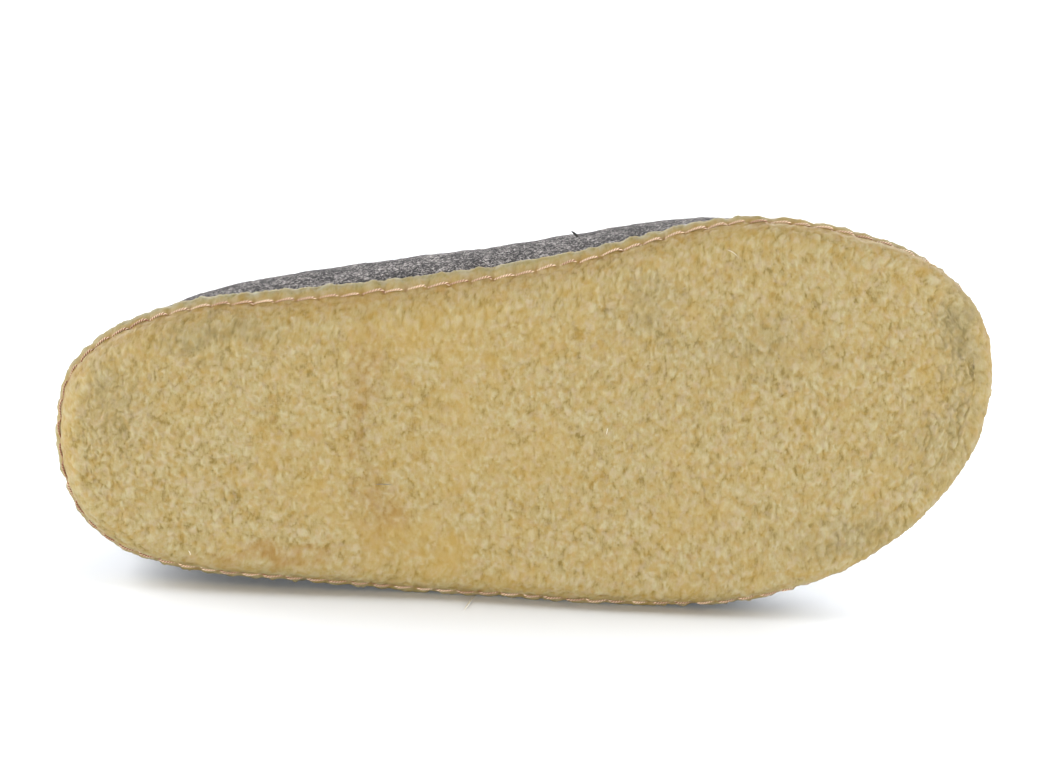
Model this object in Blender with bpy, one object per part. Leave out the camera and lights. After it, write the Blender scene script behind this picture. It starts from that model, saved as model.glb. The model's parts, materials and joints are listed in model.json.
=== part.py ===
"""Felt house slipper on a stitched crepe-rubber cup sole: the left one, lying on its outer side.

Three pieces go together as a maker would join them: the outsole, a crepe sheet whose edge is
turned up into a rim; the upper, one felt wall open at the collar and underneath; and the felt
insole that lies inside. All three are worked out from one table of stations along the foot.

In the last's own frame x runs from the back of the heel to the toe tip, y towards the outer
(little toe) side and z up from the tread. A parent empty then lays the slipper down.
"""

import math
from collections import namedtuple

import bmesh
import bpy
import numpy as np
from mathutils import Matrix, Vector

MM = 0.001

# Driving sizes, in millimetres
LENGTH = 280.0
FELT_THICKNESS = 4.0
RIM_THICKNESS = 3.0
RIM_ABOVE_PLATE = 6.0
PLATE_AT_FOREFOOT = 6.0
HEEL_WEDGE = 3.0
INSOLE_THICKNESS = 5.0
TOE_SPRING = 13.0
SEAT_GAP = 0.3
INSOLE_SIDE_GAP = 0.5
COLLAR_EDGE_ROUND = 1.1

# Where the sole leaves the floor, in millimetres from the heel
WEDGE_FRONT = 130.0
TOE_SPRING_START = 207.0

# Density of crepe rubber and of wool felt, kilograms per cubic metre
CREPE_DENSITY = 950.0
FELT_DENSITY = 300.0

# The sole leans back a little from upright when the slipper lies on its side (rise over run)
UPRIGHT_SOLE_LEAN = 0.14

# Mesh steps: columns between two stations, and rows up the felt wall above the rim
STEPS_PER_STATION = 3
WALL_ROWS = 9

# One row for each section from heel to toe, in millimetres and degrees. lateral and medial are
# the rim's outline on the outer and inner side of the axis. The leans tilt the wall outwards at
# the rim. The crest is where the wall ends: at the collar back to the throat, and beyond it at
# the ridge of the vamp, where the half width is nothing. drop is how steeply the wall falls away.
Station = namedtuple(
    "Station",
    "x lateral medial lateral_lean medial_lean crest_x crest_y crest_half crest_z drop",
)
STATIONS = [
    Station(0.0, -1.4, 1.4, 3, 3, 9.5, -0.8, 0.0, 75.0, 84),
    Station(3.0, 16.5, 18.5, 3, 4, 11.5, -0.8, 11.0, 75.0, 84),
    Station(12.0, 29.2, 29.7, 4, 7, 18.5, -0.6, 20.5, 74.0, 83),
    Station(26.0, 37.2, 37.0, 5, 11, 29.0, 0.0, 27.0, 72.0, 81),
    Station(45.0, 42.3, 41.8, 6, 17, 45.0, 0.6, 32.0, 69.0, 79),
    Station(65.0, 45.0, 43.0, 7, 23, 63.0, 0.6, 35.5, 66.0, 76),
    Station(88.0, 48.3, 44.0, 7, 27, 84.0, 0.6, 36.2, 64.5, 73),
    Station(97.0, 49.6, 44.5, 7, 28, 92.5, 0.5, 35.8, 64.6, 71),
    Station(115.0, 52.0, 45.6, 7, 30, 109.0, 0.2, 33.5, 66.5, 66),
    Station(135.0, 53.9, 47.4, 6, 30, 127.0, 0.0, 27.0, 71.0, 55),
    Station(160.0, 56.6, 50.7, 5, 24, 144.0, -1.5, 17.0, 77.5, 30),
    Station(190.0, 58.4, 56.5, 3, 13, 153.0, -3.0, 0.0, 81.5, 8),
    Station(210.0, 56.6, 58.0, 0, 5, 166.0, -4.0, 0.0, 77.3, 0),
    Station(230.0, 50.8, 54.9, -5, -1, 180.0, -5.5, 0.0, 72.3, 0),
    Station(250.0, 40.5, 48.2, -10, -6, 195.0, -7.0, 0.0, 66.4, 0),
    Station(264.0, 29.0, 39.8, -14, -11, 207.0, -8.0, 0.0, 61.3, 0),
    Station(274.0, 15.9, 29.6, -16, -14, 216.0, -8.6, 0.0, 57.2, 0),
    Station(279.0, 1.2, 18.8, -17, -16, 220.5, -8.9, 0.0, 55.1, 0),
    Station(280.0, -9.0, 9.0, -17, -17, 222.0, -9.0, 0.0, 54.4, 0),
]
THROAT_STATION = 11

# How full the wall is: the share of its rise, and of its reach inwards, before it bends over
Fullness = namedtuple("Fullness", "rise reach")
COLLAR_FULLNESS = Fullness(0.60, 0.36)
VAMP_FULLNESS = Fullness(0.60, 0.60)
VAMP_BLEND_STATIONS = 3
VAMP_SOFT_ROW = 5

# The sole's edge from the tread up to the rim: how far inside the outline, and at what share of
# the rim's height. The stitches lie in the groove under the lip.
EdgeRow = namedtuple("EdgeRow", "name inset height_share")
SOLE_EDGE = [
    EdgeRow("tread edge", 9.0, 0.00),
    EdgeRow("roll low", 5.4, 0.07),
    EdgeRow("roll high", 3.0, 0.27),
    EdgeRow("groove low", 1.9, 0.48),
    EdgeRow("groove", 1.6, 0.62),
    EdgeRow("lip", 0.0, 0.84),
    EdgeRow("lip top", 0.6, 1.00),
    EdgeRow("rim inside top", RIM_THICKNESS, 1.00),
]

# The sole is flat under the heel and under the ball, and arched between them. The heel ends in a
# soft step that only the tread has. The toe spring is added past its start.
ARCH_BACK, ARCH_TOP, ARCH_FRONT = 60.0, 118.0, 157.0
ARCH_LIFT = 2.2
HEEL_STEP_BACK, HEEL_STEP_FRONT, HEEL_STEP_END = 88.0, 97.0, 140.0
HEEL_STEP = 1.4

# Colours as linear red, green, blue
CREPE_COLOUR = (0.56, 0.42, 0.19, 1.0)
FELT_COLOUR = (0.14, 0.14, 0.15, 1.0)
INSOLE_COLOUR = (0.17, 0.17, 0.18, 1.0)


def clear_scene():
    for old in list(bpy.data.objects):
        bpy.data.objects.remove(old)


def smoothstep(share):
    share = min(1.0, max(0.0, share))
    return share * share * (3.0 - 2.0 * share)


def sole_lift(x):
    """How far the whole sole stands off the floor at x, in millimetres."""
    if x < ARCH_TOP:
        arch = smoothstep((x - ARCH_BACK) / (ARCH_TOP - ARCH_BACK))
    else:
        arch = 1.0 - smoothstep((x - ARCH_TOP) / (ARCH_FRONT - ARCH_TOP))
    spring = max(0.0, (x - TOE_SPRING_START) / (LENGTH - TOE_SPRING_START))
    return ARCH_LIFT * arch + TOE_SPRING * spring**2


def tread_step(x):
    """How much further the tread is cut back ahead of the heel."""
    rise = smoothstep((x - HEEL_STEP_BACK) / (HEEL_STEP_FRONT - HEEL_STEP_BACK))
    return HEEL_STEP * rise * (1.0 - smoothstep((x - HEEL_STEP_FRONT) / (HEEL_STEP_END - HEEL_STEP_FRONT)))


def plate_thickness(x):
    """The crepe under the foot, thicker at the heel."""
    return PLATE_AT_FOREFOOT + HEEL_WEDGE * (1.0 - smoothstep(x / WEDGE_FRONT))


def rim_height(x):
    return plate_thickness(x) + RIM_ABOVE_PLATE


def through_points(before, start, end, after, share):
    """A smooth curve from start to end that heads for its neighbours at both ends."""
    leave = (end - before) / 2.0
    arrive = (after - start) / 2.0
    squared, cubed = share * share, share**3
    return (
        start * (2 * cubed - 3 * squared + 1)
        + leave * (cubed - 2 * squared + share)
        + end * (3 * squared - 2 * cubed)
        + arrive * (cubed - squared)
    )


# One column of the slipper: a place on the rim's outline, and what the wall does above it
Column = namedtuple("Column", "outline inward lean crest drop fullness ridge_slope")


def station_row(index, side, first, last):
    """One station's numbers on a side, 1 outer or -1 inner. Past either end it turns to the other side."""
    if index < first or index > last:
        index = 2 * first - index if index < first else 2 * last - index
        side = -side
    station = STATIONS[index]
    width, lean = station.lateral, station.lateral_lean
    if side < 0:
        width, lean = station.medial, station.medial_lean
    outline = (station.x, side * width, lean)
    crest = (station.crest_x, station.crest_y + side * station.crest_half, station.crest_z, station.drop)
    return np.array(outline), np.array(crest)


def station_values(side, place):
    """Outline and crest at a place counted in stations. The collar turns at the heel and the throat."""
    last = len(STATIONS) - 1
    start = min(int(place), last - 1)
    near = range(start - 1, start + 3)
    outlines = [station_row(index, side, 0, last)[0] for index in near]
    if start < THROAT_STATION:
        crests = [station_row(index, side, 0, THROAT_STATION)[1] for index in near]
    else:
        crests = [station_row(min(max(index, THROAT_STATION), last), side, 0, last)[1] for index in near]
    return through_points(*outlines, place - start), through_points(*crests, place - start)


def ridge_slope(place):
    """Rise over run of the vamp's ridge at a place counted in stations."""
    behind = station_values(1, max(place - 0.2, THROAT_STATION))[1]
    ahead = station_values(1, min(place + 0.2, len(STATIONS) - 1))[1]
    return (ahead[2] - behind[2]) / (ahead[0] - behind[0])


def make_columns():
    """Columns in order round the outline: heel, outer side, toe, inner side."""
    last = (len(STATIONS) - 1) * STEPS_PER_STATION
    order = [(1, step) for step in range(last + 1)] + [(-1, step) for step in range(last - 1, 0, -1)]
    values = [station_values(side, step / STEPS_PER_STATION) for side, step in order]
    columns = []
    for index, (side, step) in enumerate(order):
        (x, y, lean), (crest_x, crest_y, crest_z, drop) = values[index]
        ahead, behind = values[(index + 1) % len(values)][0], values[index - 1][0]
        along = Vector((ahead[0] - behind[0], ahead[1] - behind[1])).normalized()
        past_throat = step / STEPS_PER_STATION - THROAT_STATION
        fade = smoothstep(1.0 + past_throat / VAMP_BLEND_STATIONS)
        fullness = Fullness(*(a + (b - a) * fade for a, b in zip(COLLAR_FULLNESS, VAMP_FULLNESS)))
        columns.append(
            Column(
                outline=Vector((x, y)),
                inward=Vector((along.y, -along.x)),
                lean=math.radians(lean),
                crest=Vector((crest_x, crest_y, crest_z)),
                drop=math.radians(drop),
                fullness=fullness,
                ridge_slope=ridge_slope(step / STEPS_PER_STATION) if past_throat >= 0 else None,
            )
        )
    return columns


def edge_point(column, inset, height):
    """A point inside the rim's outline by an inset square to the leaning wall, at a height in the sole."""
    rim = rim_height(column.outline.x)
    inwards = inset / math.cos(column.lean) + (rim - height) * math.tan(column.lean)
    place = column.outline + column.inward * inwards
    return Vector((place.x, place.y, height + sole_lift(place.x)))


def sole_edge_point(column, edge):
    point = edge_point(column, edge.inset, edge.height_share * rim_height(column.outline.x))
    point.z += tread_step(point.x) * (1.0 - edge.height_share)
    return point


def wall_points(column):
    """The felt's outer face from the plate up to the crest."""
    x = column.outline.x
    inset = RIM_THICKNESS + SEAT_GAP
    inner_edge_drop = FELT_THICKNESS * max(0.0, -math.sin(column.lean))
    foot = edge_point(column, inset, plate_thickness(x) + SEAT_GAP + inner_edge_drop)
    rim = edge_point(column, inset, rim_height(x))
    outwards = -column.inward * math.sin(column.lean)
    up = Vector((outwards.x, outwards.y, math.cos(column.lean)))
    away = Vector((rim.x - column.crest.x, rim.y - column.crest.y))
    reach = away.length
    away.normalize()
    if column.ridge_slope is not None:
        fall = Vector((away.x, away.y, column.ridge_slope * away.x)).normalized()
    else:
        level = math.cos(column.drop)
        fall = Vector((away.x * level, away.y * level, -math.sin(column.drop)))
    rise = column.crest.z - rim.z
    level_share = math.hypot(fall.x, fall.y)
    handle_low = rim + up * (column.fullness.rise * rise)
    handle_high = column.crest + fall * (column.fullness.reach * (reach * level_share - rise * fall.z))
    points = [foot]
    for row in range(WALL_ROWS + 1):
        share = row / WALL_ROWS
        rest = 1.0 - share
        points.append(
            rim * rest**3
            + handle_low * (3 * share * rest**2)
            + handle_high * (3 * share**2 * rest)
            + column.crest * share**3
        )
    return points


def add_row(mesh, points):
    return [mesh.verts.new(point * MM) for point in points]


def join_rows(mesh, low, high):
    """Faces between two closed rows of the same number of columns."""
    for column in range(len(low)):
        after = (column + 1) % len(low)
        mesh.faces.new((low[column], low[after], high[after], high[column]))


def close_across(mesh, row):
    """Faces that run straight across from the outer side of a row to its inner side."""
    half = len(row) // 2
    for step in range(half):
        corners = [row[step], row[step + 1], row[-step - 1], row[-step]]
        mesh.faces.new(dict.fromkeys(corners))


def solid_object(name, mesh, material, smooth_degrees=40.0):
    """Makes the object of a finished mesh, faces turned outwards and shaded round."""
    bmesh.ops.recalc_face_normals(mesh, faces=mesh.faces)
    data = bpy.data.meshes.new(name)
    mesh.to_mesh(data)
    mesh.free()
    data.shade_smooth()
    data.set_sharp_from_angle(angle=math.radians(smooth_degrees))
    data.materials.append(material)
    made = bpy.data.objects.new(name, data)
    bpy.context.scene.collection.objects.link(made)
    return made


def plain_material(name, colour, roughness):
    material = bpy.data.materials.new(name)
    material.use_nodes = True
    shader = material.node_tree.nodes["Principled BSDF"]
    shader.inputs["Base Color"].default_value = colour
    shader.inputs["Roughness"].default_value = roughness
    shader.inputs["Metallic"].default_value = 0.0
    return material


def make_outsole(columns):
    mesh = bmesh.new()
    rows = []
    for edge in SOLE_EDGE:
        rows.append(add_row(mesh, [sole_edge_point(column, edge) for column in columns]))
    rows.append(add_row(mesh, [edge_point(c, RIM_THICKNESS, plate_thickness(c.outline.x)) for c in columns]))
    for low, high in zip(rows, rows[1:]):
        join_rows(mesh, low, high)
    close_across(mesh, rows[0])
    close_across(mesh, rows[-1])
    return solid_object("outsole", mesh, plain_material("crepe_rubber", CREPE_COLOUR, 0.6))


def make_upper(columns):
    mesh = bmesh.new()
    walls = [wall_points(column) for column in columns]
    rows = [add_row(mesh, [wall[row] for wall in walls]) for row in range(WALL_ROWS + 1)]
    crest = []
    for index, column in enumerate(columns):
        twin = len(columns) - index
        shared = column.ridge_slope is not None and twin < index
        crest.append(crest[twin] if shared else mesh.verts.new(column.crest * MM))
    rows.append(crest)
    for low, high in zip(rows, rows[1:]):
        join_rows(mesh, low, high)
    mesh.verts.index_update()
    vamp = [vertex.index for row in rows[VAMP_SOFT_ROW:] for vertex in row if not vertex.is_boundary]
    upper = solid_object("upper", mesh, plain_material("wool_felt", FELT_COLOUR, 0.95))
    upper.vertex_groups.new(name="vamp").add(vamp, 1.0, "REPLACE")
    soften = upper.modifiers.new("soft vamp", "SMOOTH")
    soften.vertex_group = "vamp"
    soften.factor = 0.5
    soften.iterations = 8
    wall = upper.modifiers.new("felt wall", "SOLIDIFY")
    wall.thickness = FELT_THICKNESS * MM
    wall.offset = -1.0
    wall.use_even_offset = True
    edge = upper.modifiers.new("cut edge", "BEVEL")
    edge.limit_method = "ANGLE"
    edge.angle_limit = math.radians(60.0)
    edge.width = COLLAR_EDGE_ROUND * MM
    edge.segments = 2
    return upper


def make_insole(columns):
    mesh = bmesh.new()
    inset = RIM_THICKNESS + SEAT_GAP + FELT_THICKNESS + INSOLE_SIDE_GAP
    rows = []
    for height in (SEAT_GAP, SEAT_GAP + INSOLE_THICKNESS):
        points = [edge_point(c, inset, plate_thickness(c.outline.x) + height) for c in columns]
        rows.append(add_row(mesh, points))
    join_rows(mesh, *rows)
    for row in rows:
        close_across(mesh, row)
    return solid_object("insole", mesh, plain_material("insole_felt", INSOLE_COLOUR, 0.95))


def evaluated_triangles(piece):
    """The corners of every triangle of a finished piece, in the last's frame."""
    graph = bpy.context.evaluated_depsgraph_get()
    data = piece.evaluated_get(graph).to_mesh()
    data.calc_loop_triangles()
    points = np.array([vertex.co for vertex in data.vertices])
    return points[np.array([triangle.vertices for triangle in data.loop_triangles])]


def weight_and_centre(triangles, density):
    volumes = np.einsum("ij,ij->i", triangles[:, 0], np.cross(triangles[:, 1], triangles[:, 2])) / 6.0
    centres = triangles.sum(axis=1) / 4.0
    return density * volumes.sum(), (volumes @ centres) / volumes.sum()


def resting_floor(points, centre):
    """The floor's direction, seen from the last, when the slipper rests on its outer side.

    It is the lean along and across the foot, near the upright sole, at which the centre of mass
    lies lowest.
    """
    arms = points - centre
    best = np.array((0.0, UPRIGHT_SOLE_LEAN))
    spread = UPRIGHT_SOLE_LEAN / 2.0
    while spread > 1e-7:
        steps = np.linspace(-spread, spread, 9)
        tries = np.array([best + (along, up) for along in steps for up in steps])
        floors = np.column_stack((tries[:, 0], np.ones(len(tries)), tries[:, 1]))
        floors /= np.linalg.norm(floors, axis=1)[:, None]
        heights = (arms @ floors.T).max(axis=0)
        best = tries[heights.argmin()]
        spread *= 0.6
    return Vector((best[0], 1.0, best[1])).normalized()


def lay_down(pieces):
    """Parents the pieces to an empty that lays them on the floor, over the middle of their box."""
    solids = [(evaluated_triangles(piece), density) for piece, density in pieces]
    weights = [weight_and_centre(triangles, density) for triangles, density in solids]
    centre = sum(weight * place for weight, place in weights) / sum(weight for weight, place in weights)
    points = np.concatenate([triangles.reshape(-1, 3) for triangles, density in solids])
    up = -resting_floor(points, centre)
    toe = (Vector((1, 0, 0)) - up * up.x).normalized()
    turn = Matrix((toe, up.cross(toe), up))
    turned = points @ np.array(turn).T
    low, high = turned.min(axis=0), turned.max(axis=0)
    stand = bpy.data.objects.new("lying_slipper", None)
    bpy.context.scene.collection.objects.link(stand)
    middle = (low + high) / 2.0
    stand.matrix_world = Matrix.Translation((-middle[0], -middle[1], -low[2])) @ turn.to_4x4()
    for piece, density in pieces:
        piece.parent = stand


def main():
    clear_scene()
    columns = make_columns()
    outsole = make_outsole(columns)
    upper = make_upper(columns)
    insole = make_insole(columns)
    lay_down([(outsole, CREPE_DENSITY), (upper, FELT_DENSITY), (insole, FELT_DENSITY)])


main()
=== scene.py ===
"""Looks of a left felt slipper that lies on its side and shows its stitched crepe-rubber sole.

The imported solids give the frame. The crepe sole, its stitching, the felt upper with its fuzz and
the felt insole are built around them here, each by one operator.
"""

import json
import math
import random
from collections import namedtuple

import bmesh
import bpy
import numpy as np
from mathutils import Matrix, Vector, noise


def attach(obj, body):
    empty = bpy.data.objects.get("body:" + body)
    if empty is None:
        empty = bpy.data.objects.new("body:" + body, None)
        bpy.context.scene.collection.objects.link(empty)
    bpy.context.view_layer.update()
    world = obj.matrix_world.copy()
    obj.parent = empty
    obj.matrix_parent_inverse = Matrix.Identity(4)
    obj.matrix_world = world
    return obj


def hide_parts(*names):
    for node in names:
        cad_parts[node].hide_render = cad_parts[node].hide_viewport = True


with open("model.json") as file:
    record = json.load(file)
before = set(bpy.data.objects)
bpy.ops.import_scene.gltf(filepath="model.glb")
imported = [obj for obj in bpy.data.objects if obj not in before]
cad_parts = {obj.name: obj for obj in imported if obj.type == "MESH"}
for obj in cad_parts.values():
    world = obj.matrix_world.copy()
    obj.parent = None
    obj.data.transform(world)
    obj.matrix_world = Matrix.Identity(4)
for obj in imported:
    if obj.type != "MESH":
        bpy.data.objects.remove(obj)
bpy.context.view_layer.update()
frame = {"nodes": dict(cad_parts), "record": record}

bl_info = {
    "name": "Felt slipper with crepe sole",
    "version": (1, 0, 0),
    "blender": (4, 5, 0),
    "location": "View3D > Sidebar > Slipper",
    "description": "Builds the looks of a felt slipper around its packed solids",
    "category": "Object",
}

MM = 0.001
PHOTO_WIDTH = 1046

# Both tread mounts lie on the sole's axis, the heel's this far from its back (mm)
HEEL_MOUNT_X = 40.0

# Sections of the sole from heel to toe, in millimetres and degrees: the rim's outline on the outer
# and inner side of the axis, and how far the wall leans outwards there
Section = namedtuple("Section", "x lateral medial lateral_lean medial_lean")
SECTIONS = [Section(*row) for row in (
    (0.0, -1.4, 1.4, 3, 3),
    (3.0, 16.5, 18.5, 3, 4),
    (12.0, 29.2, 29.7, 4, 7),
    (26.0, 37.2, 37.0, 5, 11),
    (45.0, 42.3, 41.8, 6, 17),
    (65.0, 45.0, 43.0, 7, 23),
    (88.0, 48.3, 44.0, 7, 27),
    (97.0, 49.6, 44.5, 7, 28),
    (115.0, 52.0, 45.6, 7, 30),
    (135.0, 53.9, 47.4, 6, 30),
    (160.0, 56.6, 50.7, 5, 24),
    (190.0, 58.4, 56.5, 3, 13),
    (210.0, 56.6, 58.0, 0, 5),
    (230.0, 50.8, 54.9, -5, -1),
    (250.0, 40.5, 48.2, -10, -6),
    (264.0, 29.0, 39.8, -14, -11),
    (274.0, 15.9, 29.6, -16, -14),
    (279.0, 1.2, 18.8, -17, -16),
    (280.0, -9.0, 9.0, -17, -17),
)]
SAMPLES_PER_SECTION = 40

# Sizes of the solids that the looks follow, in millimetres
LENGTH = 280.0
RIM_THICKNESS = 3.0
RIM_ABOVE_PLATE = 6.0
PLATE_AT_FOREFOOT = 6.0
HEEL_WEDGE = 3.0
WEDGE_FRONT = 130.0
FELT_THICKNESS = 4.0
INSOLE_THICKNESS = 5.0
SEAT_GAP = 0.3
INSOLE_SIDE_GAP = 0.5
TOE_SPRING = 13.0
TOE_SPRING_START = 207.0
ARCH_BACK, ARCH_TOP, ARCH_FRONT = 60.0, 118.0, 157.0
ARCH_LIFT = 2.2
HEEL_STEP_BACK, HEEL_STEP_FRONT, HEEL_STEP_END = 88.0, 97.0, 140.0
HEEL_STEP = 1.4

# The sole's edge from the tread up over the lip: distance inside the outline (mm), and the share of
# the rim's height
SOLE_EDGE = (
    *((9.0, 0.00), (5.4, 0.07), (3.0, 0.27), (1.9, 0.48), (1.6, 0.62), (0.0, 0.84), (0.6, 1.00)),
    (RIM_THICKNESS, 1.00),
)
GROOVE_ROW = 4.25
GROOVE_DEPTH = 0.12

# Round the toe the edge under the stitches is fuller and hides them: share of the way round the rim
# from the back of the heel over the outer side, and how much fuller (mm)
FULLER_TOE = ((0.36, 0.0), (0.39, 1.1), (0.45, 0.1), (0.50, 0.35), (0.56, 0.8), (0.60, 0.0))
FULLER_ROWS = (0.8, 2.0, 3.6, 4.4)

# The felt of the inner side is a little fuller or flatter than its solid: place along the slipper
# and how much fuller (mm)
FELT_SWELLS = (
    (12.0, 0.0), (25.0, -1.2), (36.0, -1.5), (46.0, -1.1), (70.0, -0.2),
    (88.0, 0.6), (112.0, 1.1), (130.0, 0.4), (145.0, 0.0), (160.0, 0.1),
    (178.0, 1.0), (195.0, 1.2), (225.0, 0.0),
)

# Above the lip of the sole the felt swells over a short rise, and in the crease there it carries
# painted shade (mm)
LIP_HEIGHT = 13.0
SWELL_RISE = 4.0
CREASE_HEIGHT = 6.0

# Felt counts as the inner side's from this sideways facing, and this far off the axis (mm), over
# these blends
INNER_FACING, FACING_BLEND = 0.1, 0.4
INNER_PLACE, PLACE_BLEND = 10.0, 15.0

# Lumps of matted wool: size (mm) and share of the unevenness
FELT_LUMPS = ((7.0, 0.5), (2.6, 0.5), (1.4, 0.3))

# Seeds, so that each run makes the same slipper
CRUMB_SEED = 11
HOLE_SEED = 3
STITCH_SEED = 7
FUZZ_SEED = 11

# Sets the small cells of the crumb apart from the large ones
PIT_SHIFT = Vector((31.7, 12.3, 5.1))

# Columns on each side of the rim, the same for the sole and for its stitches
RIM_COLUMNS = 486

# Stains wander by this much, in waves of this size (mm), and fade out at so many half sizes
STAIN_WANDER = 7.0
STAIN_WAVE = 6.0
STAIN_FADE = 1.5

# Stains on the tread: middle along and across (mm, outer side positive), half sizes (mm), how
# strong, and which colour. Rubbed places are worn smooth
Stain = namedtuple("Stain", "x y half_x half_y strength kind")
STAINS = [Stain(*row) for row in (
    (94.5, -16.0, 4.5, 17.0, 0.45, "amber"),
    (97.0, 25.0, 6.0, 9.0, 0.55, "amber"),
    (97.0, 33.0, 8.0, 10.0, 0.55, "gold"),
    (92.5, 6.0, 2.5, 40.0, 0.28, "amber"),
    (63.0, 35.0, 22.0, 2.8, 0.60, "amber"),
    (178.0, -32.0, 13.0, 9.0, 0.38, "olive"),
    # The olive patches at the toe's tip are partly dirt, partly painted shade where the toe rounds
    # away
    (271.0, -22.0, 7.0, 13.0, 0.55, "olive"),
    (272.0, 2.0, 9.0, 34.0, 0.35, "olive"),
    (238.0, 38.0, 24.0, 8.0, 0.35, "olive"),
    (50.0, -31.0, 20.0, 6.0, 0.45, "olive"),
    (18.0, -14.0, 9.0, 14.0, 0.30, "olive"),
    (262.0, 14.0, 14.0, 16.0, 0.25, "olive"),
    (210.0, -20.0, 26.0, 12.0, 0.22, "olive"),
    (122.0, 8.0, 22.0, 22.0, 0.30, "gold"),
    (75.0, 8.0, 16.0, 18.0, 0.22, "gold"),
    (120.0, -26.0, 22.0, 10.0, 0.45, "gold"),
    (114.0, 37.0, 18.0, 9.0, 0.65, "gold"),
    (66.0, 39.0, 24.0, 4.0, 0.70, "rubbed"),
)]

# Stray fibres: a tuft of dark wool on the felt, a thread end at the outer edge, and a hair and
# flecks on the tread. Start, bend and end in the last's frame (mm), thickness (mm), and how pale
Stray = namedtuple("Stray", "start bend end thickness pale")
STRAYS = [Stray(*row) for row in (
    ((159.2, -51.3, 30.4), (158.2, -53.2, 30.3), (156.8, -54.0, 30.2), 0.8, 0.03),
    ((122.9, 52.0, 11.5), (121.0, 52.9, 4.5), (119.8, 53.9, -3.0), 0.35, 0.8),
    ((95.3, 15.7, 2.1), (97.8, 15.6, 2.3), (100.4, 16.2, 2.5), 0.2, 0.2),
    ((38.9, 32.5, 0.0), (39.5, 33.0, -0.3), (39.4, 33.9, 0.2), 0.22, 0.85),
    ((165.1, 1.8, -0.3), (164.7, 2.8, -0.6), (164.6, 3.8, -0.2), 0.18, 0.85),
    ((202.6, -49.1, -0.2), (204.4, -48.6, -0.5), (205.5, -47.0, -0.3), 0.15, 0.8),
)]

# Softboxes round the slipper, in metres: setting with the power, place, what it faces, and width
# and height
Softbox = namedtuple("Softbox", "setting place target size")
SOFTBOXES = [
    Softbox("left_light", (-1.3, 0.04, 0.9), (0.0, 0.0, 0.0), (1.2, 1.2)),
    Softbox("right_light", (1.3, 0.04, 0.9), (0.0, 0.0, 0.0), (1.2, 1.2)),
    Softbox("front_light", (0.0, -1.9, 0.3), (0.0, 0.0, 0.06), (2.2, 0.5)),
    Softbox("back_light", (0.0, 1.4, 0.7), (0.0, 0.0, 0.0), (2.4, 0.6)),
]

# The camera's film and what it looks at, with a small shift in its own frame (mm and metres)
FILM_WIDTH = 36.0
CAMERA_TARGET = Vector((0.0, 0.0, 0.058))
CAMERA_SHIFT = Vector((-0.0006, -0.0025, 0.0))
FLOOR_HALF_SIZE = 4.0


def hex_colour(text):
    """An sRGB hex value as linear red, green, blue."""
    parts = [int(text[place : place + 2], 16) / 255.0 for place in (1, 3, 5)]
    return [part / 12.92 if part <= 0.04045 else ((part + 0.055) / 1.055) ** 2.4 for part in parts]


def colour_property(name, description, default):
    linear = hex_colour(default)
    return bpy.props.FloatVectorProperty(
        name=name, description=description, default=linear, subtype="COLOR", min=0.0, max=1.0
    )


def number_property(name, description, default, **limits):
    return bpy.props.FloatProperty(name=name, description=description, default=default, **limits)


def size_property(name, description, default):
    return number_property(name, description, default * MM, min=0.0, unit="LENGTH", precision=5)


def power_property(name, softbox, default):
    return number_property(name, f"Watts of the {softbox}", default, min=0.0, max=1000.0)


class CrepeSettings(bpy.types.PropertyGroup):
    """Crepe rubber: sizes of its crumb and its colours."""

    crumb_width: size_property("Crumb width", "Size of a lump along the sole", 2.1)
    crumb_length: size_property("Crumb length", "Size of a lump across the sole", 3.7)
    crumb_relief: size_property("Crumb relief", "Height from the pits to the tops of the lumps", 0.85)
    scallop: size_property("Scallop", "How far a stitch pulls the lip in at most", 0.85)
    # Pit and top colours: partly the rubber's own, partly painted shade in the pits and painted light
    # on the lumps' tops
    pit_colour: colour_property("Pit colour", "Crepe in the pits between the lumps", "#806b31")
    body_colour: colour_property("Body colour", "Crepe between pits and tops", "#9e8c5a")
    top_colour: colour_property("Top colour", "Scuffed tops of the lumps", "#ada17b")
    amber_colour: colour_property("Amber stain", "Brown-orange stain at the heel's front", "#957136")
    gold_colour: colour_property("Gold patches", "Yellower, less worn crepe", "#a98c47")
    # Greyish dirt, and at the toe's tip also painted shade
    olive_dirt_and_shade_colour: colour_property("Olive patches", "Greyish dirt", "#7a6f4b")
    blush_colour: colour_property("Blush", "Pale pinkish flecks in the crepe", "#ad9a7d")
    moss_colour: colour_property("Moss", "Golden-green flecks in the crepe", "#9e7d32")
    # Painted shade in the valley inside the stitches, on the inner side only
    painted_valley_shade_colour: colour_property("Valley shade", "Browns the crepe inside the stitches", "#f3ece4")
    lip_colour: colour_property("Lip shade", "Greys the handled lip outside the stitches", "#e2edff")
    # Dirt and painted shade in and round the stitch holes and along the groove under the thread
    hole_dirt_and_shade_colour: colour_property("Hole colour", "Dirt in and around the stitch holes", "#80592c")


class ThreadSettings(bpy.types.PropertyGroup):
    """The waxed twisted thread of the rim."""

    pitch: size_property("Stitch pitch", "Distance from hole to hole", 6.5)
    thickness: size_property("Thread thickness", "Diameter of the twisted thread", 0.7)
    # The thread colour is also the painted highlight on the plies, the shade colour painted shade
    # between them
    thread_colour: colour_property("Thread colour", "Peach-coloured waxed thread", "#fde3c2")
    shade_colour: colour_property("Thread shade", "Between the plies", "#7c4720")


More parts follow.
